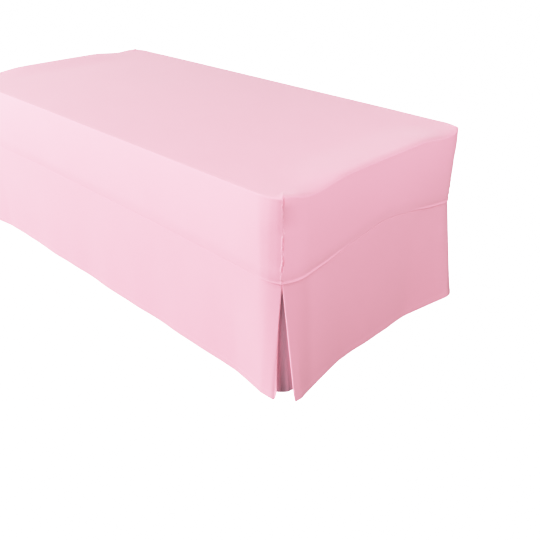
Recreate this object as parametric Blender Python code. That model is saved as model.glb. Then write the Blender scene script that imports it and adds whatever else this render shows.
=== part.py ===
"""Bed skirt: a fitted cover with a floor-length skirt sewn on, on a plain single bed.

Metres, +Z up. The origin is on the floor under the middle of the bed. The head end is at -X
and the foot end at +X. The four sides are taken anticlockwise, seen from above, and a station
is a distance along a side's cloth from the middle of that side, so the middle of a corner is
at plus or minus half_run(side).
"""

import math
from collections import namedtuple

import bmesh
import bpy
from mathutils import Vector

# Bed and cloth
BED_LENGTH = 1.90
BED_WIDTH = 0.90
CORNER_RADIUS = 0.10
CLOTH = 0.002
TOUCH = 0.0003  # gap kept between pieces that touch
EDGE_CLEARANCE = 0.002  # gap between cloth and the walls and edges behind it

# Heights
HEM_Z = 0.012
SKIRT_DROP = 0.381
FITTED_WALL = 0.254
SEAM_Z = HEM_Z + SKIRT_DROP
TOP_Z = SEAM_Z + FITTED_WALL
CROWN = 0.010  # rise of the mattress top towards its middle
CORNER_SWELL = 0.002  # how far the mattress wall swells out at half height, at a corner
SWELL_RUN = 0.15  # length over which that swell passes into the side's own

# Mattress, base and legs
MATTRESS_Z = 0.385
MATTRESS_LOWER_ROUND = 0.030
BASE_INSET = 0.012
BASE_ROUND = 0.090
LEG_HEIGHT = 0.050
LEG_RADIUS = 0.025
LEG_INSET = 0.130

# Rounded top edge at a corner, and where along a side its depth is uneven
CORNER_ROLL_WIDTH = 0.026
CORNER_ROLL_DEPTH = 0.014
DIP_START = 0.08
DIP_RUN = 0.42

# Ridges of the seams of the fitted cover
SEAM_RIDGE = 0.0012
SEAM_RIDGE_HEIGHT = 0.0045
CORNER_RIDGE = 0.0022
CORNER_RIDGE_HALF_WIDTH = 0.005

# Corner pleats
PLEAT_TACK = 0.05  # share of the drop over which the pleat is tacked shut
FOLD_RADIUS = 0.00165  # of the fold at the seam
KICK_SHAPE = 1.1  # 1 for a hem that comes straight out to the pleat, more for a hollow one
UNDERLAY_FLARE = 0.012  # how far the underlay's hem stands out at the middle of the corner
FOLD_OPENS = 0.055  # how far behind the fold the folded-back cloth is close again
UNDERLAY_DEPTH = 2 * FOLD_RADIUS + CLOTH + TOUCH

SEAM_LEVEL = 0.05  # the seam line is level this far from the middle of a corner
WAVE_START = 0.20  # the hem starts to wave this far from the middle of a corner
WAVE_RUN = 0.15  # and waves fully after this much more

# One row for each side. turn is its place, in quarter turns. roll_width, roll_depth and
# roll_dip are the size of its rounded top edge and how much deeper that gets unevenly, and
# swell is how far its wall swells out. Its seam line rises by seam_rise, at rise_end from the
# corner. A kick is the hem's distance out from the wall at the pleat (kick_end) and at its
# fullest (kick_full), which lies kick_at from the pleat; the hem is straight again kick_run
# from the pleat, with a slight wave of its own. hem_fold is the radius to which the fold at
# the pleat has opened at the hem, and hem_lean how far the fold leans over the pleat there.
Side = namedtuple(
    "Side",
    "name turn length roll_width roll_depth roll_dip swell seam_rise rise_end"
    " kick_end kick_full kick_at kick_run hem_fold hem_lean wave wave_pitch wave_shift",
)
SIDES = [
    Side(
        "left", 0, BED_LENGTH, 0.020, 0.014, 0.000, 0.003, 0.016, 0.60,
        0.018, 0.023, 0.045, 0.175, 0.008, 0.006, 0.0022, 0.47, 0.3,
    ),
    Side(
        "foot", 1, BED_WIDTH, 0.085, 0.014, 0.016, 0.007, 0.052, 0.43,
        0.038, 0.038, 0.010, 0.215, 0.005, 0.000, 0.0015, 0.31, 1.7,
    ),
    Side(
        "right", 2, BED_LENGTH, 0.022, 0.014, 0.000, 0.003, 0.018, 0.62,
        0.020, 0.023, 0.045, 0.190, 0.007, 0.003, 0.0026, 0.52, 2.1,
    ),
    Side(
        "head", 3, BED_WIDTH, 0.080, 0.014, 0.012, 0.006, 0.044, 0.43,
        0.038, 0.038, 0.012, 0.205, 0.005, 0.001, 0.0018, 0.36, 0.6,
    ),
]  # fmt: skip

# Distances from the middle of a corner, along the cloth, at which a side has a mesh column.
CORNER_COLUMNS = [0.275, 0.215, 0.170, 0.120, 0.0785, 0.055, 0.030, CORNER_RIDGE_HALF_WIDTH, 0.0]
MIDDLE_PITCH = 0.16  # longest step between columns along the middle of a side

DROP_ROWS = [0.0, PLEAT_TACK, 0.22, 0.42, 0.62, 0.82, 1.0]
ROLL_STEPS = 4
FOLD_STEPS = 4
# The same distances for the cloth that is folded back behind each front edge, and for the
# underlay, which lies against it between the first two and hangs free beyond the fourth.
PLEAT_COLUMNS = [0.100, 0.088, 0.0785, 0.055, 0.030, 0.014]

UP = Vector((0, 0, 1))


def clear_scene():
    for item in list(bpy.data.objects):
        bpy.data.objects.remove(item)


def smooth_step(value):
    """0 below 0, 1 above 1 and an S-shaped rise between."""
    t = min(1.0, max(0.0, value))
    return t * t * (3 - 2 * t)


def blend(a, b, share):
    return a + (b - a) * share


# --- The outline of the bed, seen from above -------------------------------------------


def directions(side):
    """The unit vectors along a side and out from it."""
    angle = math.radians(90 * side.turn)
    along = Vector((math.cos(angle), math.sin(angle), 0))
    return along, along.cross(UP)


def wall_distance(side):
    """How far a side's straight stretch lies from the middle of the bed."""
    return (BED_WIDTH if side.length == BED_LENGTH else BED_LENGTH) / 2


def half_straight(side):
    return side.length / 2 - CORNER_RADIUS


def half_run(side):
    """The cloth's length from the middle of a side to the middle of its corner."""
    return half_straight(side) + CORNER_RADIUS * math.pi / 4


def side_point(side, station, outward=0.0):
    """The point of the rounded outline at a station, moved outward at right angles to it."""
    along, out = directions(side)
    bend = max(0.0, abs(station) - half_straight(side)) / CORNER_RADIUS
    sideways = min(abs(station), half_straight(side)) + (CORNER_RADIUS + outward) * math.sin(bend)
    outwards = wall_distance(side) - CORNER_RADIUS + (CORNER_RADIUS + outward) * math.cos(bend)
    return along * math.copysign(sideways, station) + out * outwards


def from_corner(side, station):
    return half_run(side) - abs(station)


def seam_height(side, station):
    """The seam between cover and skirt dips to the corners."""
    rise = (from_corner(side, station) - SEAM_LEVEL) / (side.rise_end - SEAM_LEVEL)
    return SEAM_Z + side.seam_rise * smooth_step(rise)


def wall_swell(side, station, z):
    """How far the wall stands out from the outline at a height."""
    most = blend(CORNER_SWELL, side.swell, smooth_step(from_corner(side, station) / SWELL_RUN))
    height = (z - MATTRESS_Z) / (TOP_Z - MATTRESS_Z)
    return most * math.sin(math.pi * min(1.0, max(0.0, height)))


def roll_at(side, station):
    """(width, depth) of the rounded top edge at a station."""
    away = from_corner(side, station)
    share = smooth_step(away / CORNER_RADIUS)
    dip = math.sin(math.pi * min(1.0, max(0.0, (away - DIP_START) / DIP_RUN))) ** 2
    width = blend(CORNER_ROLL_WIDTH, side.roll_width, share)
    depth = blend(CORNER_ROLL_DEPTH, side.roll_depth, share) + side.roll_dip * dip
    return width, depth


def side_stations(side):
    """Mesh columns of a side, from one corner's middle to the next."""
    inner = half_run(side) - CORNER_COLUMNS[0]
    steps = math.ceil(inner / MIDDLE_PITCH)
    half = [inner * k / steps for k in range(1, steps + 1)]
    half += [half_run(side) - away for away in CORNER_COLUMNS[1:]]
    return [-station for station in reversed(half)] + [0.0] + half


# --- Mesh helpers ----------------------------------------------------------------------


def add_object(name, bm, material, smooth_angle=40):
    mesh = bpy.data.meshes.new(name)
    bm.to_mesh(mesh)
    bm.free()
    mesh.materials.append(material)
    mesh.shade_smooth()
    mesh.set_sharp_from_angle(angle=math.radians(smooth_angle))
    item = bpy.data.objects.new(name, mesh)
    bpy.context.scene.collection.objects.link(item)
    return item


def make_material(name, colour, roughness):
    material = bpy.data.materials.new(name)
    material.use_nodes = True
    shader = material.node_tree.nodes["Principled BSDF"]
    shader.inputs["Base Color"].default_value = (*colour, 1.0)
    shader.inputs["Roughness"].default_value = roughness
    shader.inputs["Metallic"].default_value = 0.0
    return material


def split_quads(item):
    """Splits every quad before the cloth gets its thickness, so that both its faces stay parallel."""
    item.modifiers.new("triangles", "TRIANGULATE").quad_method = "SHORTEST_DIAGONAL"


def thicken(item, offset):
    """Turns a surface into cloth: offset -1 keeps it as the outside, 0 as the middle."""
    split_quads(item)
    solid = item.modifiers.new("cloth", "SOLIDIFY")
    solid.thickness = CLOTH
    solid.offset = offset
    solid.use_quality_normals = True


def sheet_from_grid(name, columns, rows, place, material):
    """A sheet of cloth whose vertex (column, row) is at place(column value, row value)."""
    bm = bmesh.new()
    bmesh.ops.create_grid(bm, x_segments=len(columns) - 1, y_segments=len(rows) - 1, size=0.5)
    for vert in bm.verts:
        column = columns[round((vert.co.x + 0.5) * (len(columns) - 1))]
        row = rows[round((0.5 - vert.co.y) * (len(rows) - 1))]
        vert.co = place(column, row)
    thicken(add_object(name, bm, material), 0)


def extrude_rim(bm, rim):
    """Extrudes the open edges of a shell and returns the new open edges."""
    made = bmesh.ops.extrude_edge_only(bm, edges=rim)["geom"]
    new_verts = {part for part in made if isinstance(part, bmesh.types.BMVert)}
    return [
        part
        for part in made
        if isinstance(part, bmesh.types.BMEdge) and part.is_boundary and set(part.verts) <= new_verts
    ]


def ring_place(x, y):
    """(side, station, share) of a vertex of the top, whose rings shrink to a line in the middle."""
    left, foot, right, head = SIDES
    away_x, away_y = half_run(left) - abs(x), half_run(foot) - abs(y)
    if away_y <= away_x:
        side, station, away = (left, x, away_y) if y < 0 else (right, -x, away_y)
    else:
        side, station, away = (foot, y, away_x) if x > 0 else (head, -y, away_x)
    full = half_run(side)
    return side, station * full / (full - away), away / half_run(foot)


def top_place(side, station, share, edge_point):
    """The place seen from above: share runs from 0 at the edge to 1 on the middle line."""
    along, out = directions(side)
    middle = half_run(SIDES[0]) - half_run(SIDES[1])
    inner = along * (middle * station / half_run(side)) if side.length == BED_LENGTH else out * middle
    return edge_point.lerp(inner, share)


def shell_over_bed(top_z, ring_points):
    """A top of quads at height top_z plus the crown, with rings extruded down from its edge.

    Each function in ring_points gives a ring's point from a side and a station, the first one
    along the edge of the top.
    """
    lengthways = side_stations(SIDES[0])
    crossways = side_stations(SIDES[1])
    bm = bmesh.new()
    side_layer = bm.verts.layers.int.new("side")
    station_layer = bm.verts.layers.float.new("station")
    bmesh.ops.create_grid(bm, x_segments=len(lengthways) - 1, y_segments=len(crossways) - 1, size=0.5)
    for vert in bm.verts:
        x = lengthways[round((vert.co.x + 0.5) * (len(lengthways) - 1))]
        y = crossways[round((vert.co.y + 0.5) * (len(crossways) - 1))]
        side, station, share = ring_place(x, y)
        vert[side_layer], vert[station_layer] = side.turn, station
        place = top_place(side, station, share, ring_points[0](side, station))
        vert.co = (place.x, place.y, top_z + crown(place))
    rim = [edge for edge in bm.edges if edge.is_boundary]
    for ring_point in ring_points[1:]:
        rim = extrude_rim(bm, rim)
        for vert in {vert for edge in rim for vert in edge.verts}:
            vert.co = ring_point(SIDES[vert[side_layer]], vert[station_layer])
    return bm, rim


# --- The mattress and the fitted cover ------------------------------------------------


def crown(place):
    """How far the top rises above its edge at a place."""
    share_x, share_y = 2 * place.x / BED_LENGTH, 2 * place.y / BED_WIDTH
    return CROWN * max(0.0, 1 - share_x**2) * max(0.0, 1 - share_y**2)


def wall_point(side, station, z, inward=0.0):
    """A point of the wall at a height, moved inward."""
    return side_point(side, station, wall_swell(side, station, z) - inward) + UP * z


def roll_ring(turn, inset, lower):
    """A ring of the rounded top edge: turn runs from 0 on the top to 1 on the wall."""

    def point(side, station):
        width, depth = roll_at(side, station)
        angle = turn * math.pi / 2
        z = TOP_Z - depth * (1 - math.cos(angle))
        place = wall_point(side, station, z, width * (1 - math.sin(angle)) + inset)
        return place + UP * (crown(place) * (1 - turn) - lower)

    return point


def wall_ring(height):
    """A ring of the wall: height runs from 0 at the seam to 1 under the rounded edge."""

    def point(side, station):
        z = blend(seam_height(side, station), TOP_Z - roll_at(side, station)[1], height)
        return wall_point(side, station, z)

    return point


def seam_ring(above, ridge):
    """A ring of the sewn edge: the seam allowance behind it makes a low ridge."""

    def point(side, station):
        return wall_point(side, station, seam_height(side, station) + above, -ridge)

    return point


def lower_ring(turn, inset):
    """A ring of the mattress's lower rounded edge: turn runs from 0 on the wall to 1 below."""

    def point(side, station):
        angle = turn * math.pi / 2
        z = MATTRESS_Z + MATTRESS_LOWER_ROUND * (1 - math.sin(angle))
        return wall_point(side, station, z, MATTRESS_LOWER_ROUND * (1 - math.cos(angle)) + inset)

    return point


def raise_corner_seams(bm):
    """Pulls the column at each corner out into the ridge of its sewn seam."""
    station_layer = bm.verts.layers.float["station"]
    side_layer = bm.verts.layers.int["side"]
    for vert in bm.verts:
        side = SIDES[vert[side_layer]]
        at_corner = from_corner(side, vert[station_layer]) < CORNER_RIDGE_HALF_WIDTH / 2
        if at_corner and vert.co.z < TOP_Z - SEAM_RIDGE:
            outward = Vector((math.copysign(1, vert.co.x), math.copysign(1, vert.co.y), 0))
            vert.co += outward.normalized() * CORNER_RIDGE


def build_fitted_cover(cloth):
    roll = [roll_ring(k / ROLL_STEPS, 0.0, 0.0) for k in range(ROLL_STEPS + 1)]
    wall = [wall_ring(height) for height in (0.66, 0.33)]
    ridge = [seam_ring(2 * SEAM_RIDGE_HEIGHT, 0.0), seam_ring(SEAM_RIDGE_HEIGHT, SEAM_RIDGE)]
    bm, _ = shell_over_bed(TOP_Z, roll + wall + ridge + [seam_ring(0.0, 0.0)])
    raise_corner_seams(bm)
    thicken(add_object("fitted_cover", bm, cloth, 60), -1)


def build_mattress(ticking):
    inset = CLOTH + EDGE_CLEARANCE
    lower = CLOTH + TOUCH
    roll = [roll_ring(k / ROLL_STEPS, inset, lower) for k in range(ROLL_STEPS + 1)]
    foot = [lower_ring(turn, inset) for turn in (0.0, 0.35, 0.7, 1.0)]
    bm, rim = shell_over_bed(TOP_Z - lower, roll + foot)
    bmesh.ops.edgeloop_fill(bm, edges=rim)
    split_quads(add_object("mattress", bm, ticking, 60))


# --- The skirt -------------------------------------------------------------------------


def kick(side, station):
    """How far the hem stands out from the wall next to a pleat."""
    away = from_corner(side, station)
    if away < side.kick_at:
        return blend(side.kick_end, side.kick_full, smooth_step(away / side.kick_at))
    fade = (away - side.kick_at) / (side.kick_run - side.kick_at)
    return side.kick_full * (1 - min(1.0, fade)) ** KICK_SHAPE


def hem_wave(side, station):
    """The slight unevenness of the hem between the pleats."""
    strength = side.wave * smooth_step((from_corner(side, station) - WAVE_START) / WAVE_RUN)
    phase = 2 * math.pi * station / side.wave_pitch + side.wave_shift
    return strength * (math.sin(phase) + 0.5 * math.sin(2.3 * phase))


def freed(drop):
    """How far the cloth has left its shape at the seam: 0 down to the tack, 1 at the hem."""
    return max(0.0, (drop - PLEAT_TACK) / (1 - PLEAT_TACK))


def front_point(side, station, drop):
    """The middle of the skirt's front layer: drop runs from 0 at the seam to 1 at the hem."""
    along, out = directions(side)
    seam = wall_point(side, station, seam_height(side, station), CLOTH / 2) - UP * TOUCH
    stand_out = kick(side, station) + hem_wave(side, station) - CLOTH / 2
    hem = along * station + out * (wall_distance(side) + stand_out) + UP * HEM_Z
    place = seam.lerp(hem, freed(drop))
    return Vector((place.x, place.y, blend(seam.z, hem.z, drop)))


def layer_point(side, station, drop, depth):
    """A point that lies depth behind the front layer."""
    step = CLOTH / 2
    tangent = front_point(side, station + step, drop) - front_point(side, station - step, drop)
    inward = UP.cross(tangent).normalized()
    return front_point(side, station, drop) + inward * depth


def fold_radius(side, drop):
    return blend(FOLD_RADIUS, side.hem_fold, freed(drop) ** 1.5)


def fold_point(side, hand, angle, drop):
    """A point of the fold at a pleat: angle runs from 0 at the front to pi at the back."""
    radius = fold_radius(side, drop)
    bend = half_run(side) - radius - CLOTH / 2 - TOUCH + side.hem_lean * freed(drop)
    return layer_point(side, hand * (bend + radius * math.sin(angle)), drop, radius * (1 - math.cos(angle)))


def back_point(side, hand, away, drop):
    """A point of the cloth that is folded back behind a front edge."""
    closing = smooth_step(away / FOLD_OPENS)
    depth = 2 * blend(fold_radius(side, drop), FOLD_RADIUS, closing)
    return layer_point(side, hand * (half_run(side) - away), drop, depth)


def build_skirt(side, cloth):
    """One side's panel, from one folded-back end to the other."""
    front = side_stations(side)[2:-2]
    folds = [math.pi * k / FOLD_STEPS for k in range(FOLD_STEPS + 1)]
    end = [(fold_point, angle) for angle in folds] + [(back_point, away) for away in PLEAT_COLUMNS[::-1]]
    columns = [(kind, -1, value) for kind, value in reversed(end)]
    columns += [(None, 0, station) for station in front]
    columns += [(kind, 1, value) for kind, value in end]

    def place(column, drop):
        kind, hand, value = column
        return kind(side, hand, value, drop) if kind else front_point(side, value, drop)

    sheet_from_grid(f"skirt_{side.name}", columns, DROP_ROWS, place, cloth)


def build_pleat(side, following, cloth):
    """The underlay of the inverted pleat at the corner where a side meets the following one."""
    joined_away, free_away = PLEAT_COLUMNS[1], PLEAT_COLUMNS[3]

    def place(signed_away, drop):
        away = abs(signed_away)
        owner = side if signed_away < 0 else following
        station = math.copysign(half_run(owner) - away, -signed_away)
        against = layer_point(owner, station, drop, UNDERLAY_DEPTH)
        flare = UNDERLAY_FLARE * (1 - smooth_step(away / PLEAT_COLUMNS[0]))
        at_seam = wall_swell(owner, station, SEAM_Z) - CLOTH / 2 - UNDERLAY_DEPTH
        own = side_point(owner, station, blend(at_seam, flare, freed(drop))) + UP * against.z
        return own.lerp(against, smooth_step((away - free_away) / (joined_away - free_away)))

    columns = [-away for away in PLEAT_COLUMNS] + [0.0] + PLEAT_COLUMNS[::-1]
    sheet_from_grid(f"pleat_{side.name}_{following.name}", columns, DROP_ROWS, place, cloth)


# --- The bed base ----------------------------------------------------------------------


def build_base(upholstery):
    size = (BED_LENGTH - 2 * BASE_INSET, BED_WIDTH - 2 * BASE_INSET, MATTRESS_Z - LEG_HEIGHT - 2 * TOUCH)
    bm = bmesh.new()
    bmesh.ops.create_cube(bm, size=1.0)
    bmesh.ops.scale(bm, vec=size, verts=bm.verts)
    upright = [edge for edge in bm.edges if abs(edge.verts[0].co.z - edge.verts[1].co.z) > size[2] / 2]
    bmesh.ops.bevel(
        bm, geom=upright, offset=BASE_ROUND, segments=8, profile=0.5, affect="EDGES", material=-1
    )
    base = add_object("bed_base", bm, upholstery, 30)
    base.location = (0, 0, LEG_HEIGHT + TOUCH + size[2] / 2)


def build_legs(plastic):
    reach_x = BED_LENGTH / 2 - LEG_INSET
    reach_y = BED_WIDTH / 2 - LEG_INSET
    for end, x in (("head", -reach_x), ("foot", reach_x)):
        for hand, y in (("left", -reach_y), ("right", reach_y)):
            bm = bmesh.new()
            bmesh.ops.create_cone(
                bm, cap_ends=True, segments=24, radius1=LEG_RADIUS, radius2=LEG_RADIUS, depth=LEG_HEIGHT
            )
            leg = add_object(f"leg_{end}_{hand}", bm, plastic, 30)
            leg.location = (x, y, LEG_HEIGHT / 2)


def main():
    clear_scene()
    cloth = make_material("pink_cloth", (0.87, 0.52, 0.62), 0.85)
    ticking = make_material("mattress_ticking", (0.85, 0.84, 0.80), 0.9)
    upholstery = make_material("base_cloth", (0.80, 0.78, 0.74), 0.9)
    plastic = make_material("leg_plastic", (0.03, 0.03, 0.03), 0.5)
    build_fitted_cover(cloth)
    build_mattress(ticking)
    build_base(upholstery)
    build_legs(plastic)
    for side, following in zip(SIDES, SIDES[1:] + SIDES[:1]):
        build_skirt(side, cloth)
        build_pleat(side, following, cloth)


main()
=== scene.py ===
"""Bed skirt: the cloth, finishes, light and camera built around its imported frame.

Metres, +Z up. The origin is on the floor under the middle of the bed. The head end is at -X
and the foot end at +X. The four sides are taken anticlockwise, seen from above. A station is
a distance along a side's cloth from the middle of that side, so the middle of a corner is at
plus or minus the side's half_run.
"""

import math
import random
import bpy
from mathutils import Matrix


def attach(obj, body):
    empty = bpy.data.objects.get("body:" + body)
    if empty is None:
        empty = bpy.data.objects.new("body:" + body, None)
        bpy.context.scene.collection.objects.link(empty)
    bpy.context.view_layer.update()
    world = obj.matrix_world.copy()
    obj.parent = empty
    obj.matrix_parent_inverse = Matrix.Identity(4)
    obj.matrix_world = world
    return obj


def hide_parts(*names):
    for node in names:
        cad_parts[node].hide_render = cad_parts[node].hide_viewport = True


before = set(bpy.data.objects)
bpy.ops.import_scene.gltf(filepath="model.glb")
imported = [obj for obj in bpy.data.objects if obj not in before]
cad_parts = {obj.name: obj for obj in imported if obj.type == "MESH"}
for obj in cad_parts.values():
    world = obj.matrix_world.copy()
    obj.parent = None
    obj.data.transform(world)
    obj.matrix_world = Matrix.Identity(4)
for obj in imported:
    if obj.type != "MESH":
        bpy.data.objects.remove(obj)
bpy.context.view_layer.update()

from types import SimpleNamespace

import bmesh
import bpy
from bpy.props import FloatProperty, FloatVectorProperty, PointerProperty
from mathutils import Matrix, Vector, noise

bl_info = {
    "name": "Bed Skirt",
    "version": (1, 0, 0),
    "blender": (4, 5, 0),
    "location": "View3D > Sidebar > Bed Skirt",
    "description": "Dresses a bed frame with a fitted cover, skirt panels, corner pleats and a stage",
    "category": "Add Mesh",
}

UP = Vector((0, 0, 1))

# --- The four sides ---

# turn is a side's place, in quarter turns. roll is the width and depth of its rounded top edge,
# sag what is added to them where the cloth lies slack, and edge_rise how far the edge rises
# towards the middle of the side. swell is how far the wall swells out. The seam line rises by seam_rise,
# at rise_end from the corner. The hem stands out by kick_end at the pleat and by kick_full at
# kick_at from it, is straight again from kick_run on, and waves slightly. hem_fold is the radius
# of the pleat's fold at the hem, and hem_lean how far it leans over the pleat. lip is the
# strength of the lip at the cover's lower edge, and lip_run its reach from a corner. The hem's
# tip is rounded over a width of tip and a height of tip_rise.
SIDE_FIELDS = (
    "name turn lengthways roll sag edge_rise swell seam_rise rise_end"
    " kick_end kick_full kick_at kick_run hem_fold hem_lean wave wave_pitch wave_shift"
    " lip lip_run tip tip_rise"
).split()
SIDES = (
    (
        "left", 0, True, (0.003, 0.003), (0, 0), 0, 0.006, 0.009, 0.60,
        0.021, 0.023, 0.045, 0.175, 0.004, 0.019, 0.0022, 0.47, 0.3,
        0.50, 0.12, 0.016, 0.026,
    ),
    (
        "foot", 1, False, (0.030, 0.008), (0.036, 0.004), 0.013, 0.007, 0.056, 0.43,
        0.040, 0.042, 0.025, 0.245, 0.003, 0.005, 0.0015, 0.31, 1.7,
        1.45, 0.30, 0.006, 0.008,
    ),
    (
        "right", 2, True, (0.006, 0.006), (0.004, 0.002), 0, 0.003, 0.012, 0.62,
        0.020, 0.023, 0.045, 0.190, 0.004, 0.012, 0.0026, 0.52, 2.1,
        0.60, 0.15, 0.015, 0.023,
    ),
    (
        "head", 3, False, (0.026, 0.008), (0.032, 0.004), 0.010, 0.006, 0.048, 0.43,
        0.038, 0.042, 0.022, 0.215, 0.003, 0.004, 0.0018, 0.36, 0.6,
        1.25, 0.26, 0.006, 0.009,
    ),
)

# --- Shape of the bed and of the cloth on it ---

# A bell is given as its middle and half-width, a ramp as its start and length, and a fall as
# its end and length.
CROWN = 0.010  # rise of the mattress top towards its middle
MATTRESS_Z = 0.385
CORNER_SWELL = 0.001  # how far the mattress wall swells out at half height, at a corner
SWELL_RUN = 0.15  # length over which that swell passes into the side's own
CORNER_ROLL = (0.009, 0.003)  # width and depth of the rounded top edge at a corner
SAG_BELL = (0.125, 0.060)  # where, from a corner, the rounded top edge is largest
RISE_RAMP = (0.07, 0.17)  # how the top edge rises away from a corner, and the top with it
RISE_REACH = 0.20  # how far in over the top that rise reaches
CORNER_PEAK = 0.0045  # the end of a corner seam is drawn up to a small peak
CORNER_PEAK_RUNS = (0.022, 0.009)  # to its right and left
CORNER_PEAK_REACH = 0.045
RELIEF_FROM = 0.4  # share of the rounded edge over which relief dies out towards the top
EDGE_INSET = 0.026  # the rings of the cover's edge begin this far in from the wall
LAYER = 0.002  # room that one layer of cloth takes in a fold
TOUCH = 0.0003
PLEAT_TACK = 0.022  # share of the drop over which the pleat is tacked shut
FOLD_RADIUS = 0.00165
KICK_SHAPE = 1.1
HEM_FLARE = 0.003  # how far the hem stands out between the pleats
UNDERLAY_FLARE = 0.009
UNDERLAY_VALLEY = 0.002
UNDERLAY_VALLEY_RUN = 0.010
UNDERLAY_SHOWS = 0.66  # share of a kick's width over which the underlay shows
UNDERLAY_TURN = 0.0038  # how far it turns in where it goes behind a front edge
UNDERLAY_TURN_RUN = 0.0045
UNDERLAY_HANG = 0.002  # how much lower its hem hangs than the panels' hem
BACK_LIFT = 0.020  # how much higher the hem of the folded-back cloth is, next to the fold
BACK_LIFT_POWER = 6
FOLD_OPENS = 0.055
UNDERLAY_DEPTH = 2 * FOLD_RADIUS + LAYER + TOUCH
UNDERLAY_REACH = 0.100  # the underlay and the folded-back cloth end this far from the corner
UNDERLAY_JOINED = 0.088
UNDERLAY_FREE = 0.055
UNDERLAY_PITCH = 0.004  # between its columns, which go up to the last one at its end
UNDERLAY_COLUMNS = 24
SEAM_LEVEL = 0.03
SEAM_EASE = 0.12  # share of the seam's rise over which it bends at each end
WAVE_RAMP = (0.20, 0.15)

# --- Relief of the sewing ---

PINCH = 0.008  # how far a corner seam stands out from the round corner, drawn to a ridge
PINCH_RUN_LEFT = 0.028
PINCH_RUN_RIGHT = 0.015
PINCH_FADE = 0.008  # length below the top edge over which it grows
PINCH_SHARP = (0.045, 0.070)  # ramp below the top edge from a round to a sharp left
SEAM_WANDER = 0.0026
SEAM_ENDS = (0.004, 0.006)
SEAM_REACH = 0.05
# The ridge and groove of a corner seam, each low down and in the upper part of the seam.
UPPER_RAMP = (0.52, 0.14)
UPPER_FALL = (0.95, 0.08)
RIDGE_HEIGHTS = (0.0010, 0.0005)
RIDGE_BELL = (-0.0016, 0.0013)
GROOVE_DEPTHS = (0.0021, 0.0016)
GROOVE_AT = 0.0012
GROOVE_WIDTHS = (0.0010, 0.0016)
# Small marks at a seam's upper end: height, bell across the seam and bell below the peak.
SEAM_MARKS = (
    (0.0020, (-0.0012, 0.0026), (0.006, 0.0030)),
    (-0.0034, (0.0018, 0.0014), (0.007, 0.0024)),
)
GATHER_END = 0.25  # share of the wall's height over which a gather fades at its ends
WALL_WAVES = (0.0010, 0.0004)  # heights of the broad and the small unevenness
SKIRT_WAVES = (0.0014, 0.0004)
TOP_WAVES = (0.0009, 0.00035)
WAVES_FADE = 0.03  # length next to a seam or edge over which they fade
SKIRT_WAVES_RAMP = (0.01, 0.05)
JOIN_ABOVE = 0.0042  # the join of cover and skirt lies this far above the end of the frame's cover
JOIN_BELOW = 0.0010  # and this far below it where there is a lip
JOIN_DIP = 0.004  # how much lower it is at a corner seam
JOIN_DIP_RUN = 0.030
JOIN_TUCK = 0.0006  # how far the join is tucked in
LIP_TUCK = 0.0015
TUCK_RUN = 0.0022
LIP = 0.0017  # how far the cover's lower edge stands out as a lip near the corners
LIP_BELL = (0.0028, 0.0021)
CORNER_LIP = 0.8  # the strength of the lip at a corner seam
CORNER_LIP_RUN = 0.03
LIP_GROOVE = 0.0007  # the seam allowance ends in a slight groove over the lip
GROOVE_BELL = (0.0110, 0.0028)
HEM_TURN = 0.022  # width of the turned-up hem
HEM_STEP = 0.0004
HEM_STEP_RUN = 0.0012
HEM_STITCH_BELL = (0.0195, 0.0009)  # the row of stitches above the hem's edge
HEM_STITCH_SINK = 0.0002
WALL_MAP_STEP = 3.0  # between the walls' places on the cover's map
STITCH_HEIGHT = 0.8  # of a stitch's width
STITCH_SHARE = 0.72  # of the stitch pitch, and the rest is the gap
HEM_THREAD = 0.00055
HEM_STITCH_END = 0.014  # the row ends this far from the corner's middle
HEM_STITCH_AHEAD = 0.002
SEAM_THREAD = 0.0014
SEAM_STITCH_END = 0.006
SEAM_STITCH_LIFT = 0.0001
PLEAT_LEVEL_FROM = 0.01  # the rows of a fold lie as high as this far from the corner's middle

# Distances from a corner's middle at which the cover has a column of faces.
CORNER_COLUMNS = [
    0.0, 0.0007, 0.0014, 0.0021, 0.0029, 0.0038, 0.005, 0.0067, 0.009, 0.0122, 0.0162, 0.0205,
    0.025, 0.0296, 0.0343, 0.0391, 0.044, 0.049, 0.0541, 0.0594, 0.065, 0.071, 0.0785, 0.086, 0.093,
    0.1, 0.107, 0.1145, 0.1225, 0.131, 0.14, 0.15, 0.161, 0.173, 0.187, 0.203,
    0.221, 0.241, 0.263, 0.287,
]
MIDDLE_PITCH = 0.027
EDGE_ROWS = 9
WALL_ROWS = 52
FINE_ROWS = 5  # the first rows under the rounded edge, which are split in two

# Distances from the fold at which a skirt panel has a column, and the same for the cloth that
# is folded back behind it.
FRONT_COLUMNS = [
    0.0014, 0.003, 0.005, 0.0075, 0.0105, 0.014, 0.018, 0.0225, 0.0275, 0.033, 0.039, 0.045,
    0.0515, 0.058, 0.065, 0.072, 0.079, 0.0865, 0.0945, 0.103, 0.112, 0.1215, 0.132, 0.143,
    0.155, 0.168, 0.182, 0.197, 0.213, 0.23, 0.248, 0.268,
]
FOLD_STEPS = 10
BACK_COLUMNS = [
    0.013, 0.018, 0.024, 0.03, 0.036, 0.042, 0.048, 0.055, 0.062, 0.07, 0.0785, 0.088, 0.1
]

# Rows of a panel: below the seam, as shares of what lies between, and above the hem's edge.
SEAM_ROWS = [
    0.0, 0.0006, 0.0012, 0.0018, 0.0025, 0.0033, 0.0042, 0.0051, 0.006, 0.007, 0.0082, 0.0098,
    0.012, 0.015, 0.019,
]
SHARE_ROWS = 24
HEM_ROWS = [0.034, 0.028, 0.0245, 0.0228, 0.0218, 0.021, 0.0202, 0.019, 0.016, 0.011, 0.005, 0.0014, 0.0]

# Heights above the join at which the cover has a ring of faces.
COVER_SEAM_RINGS = [
    0.027, 0.0225, 0.0187, 0.0155, 0.0128, 0.0104, 0.0083, 0.0066, 0.0052, 0.004, 0.003, 0.0022,
    0.0015, 0.0009, 0.0004,
]


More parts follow.
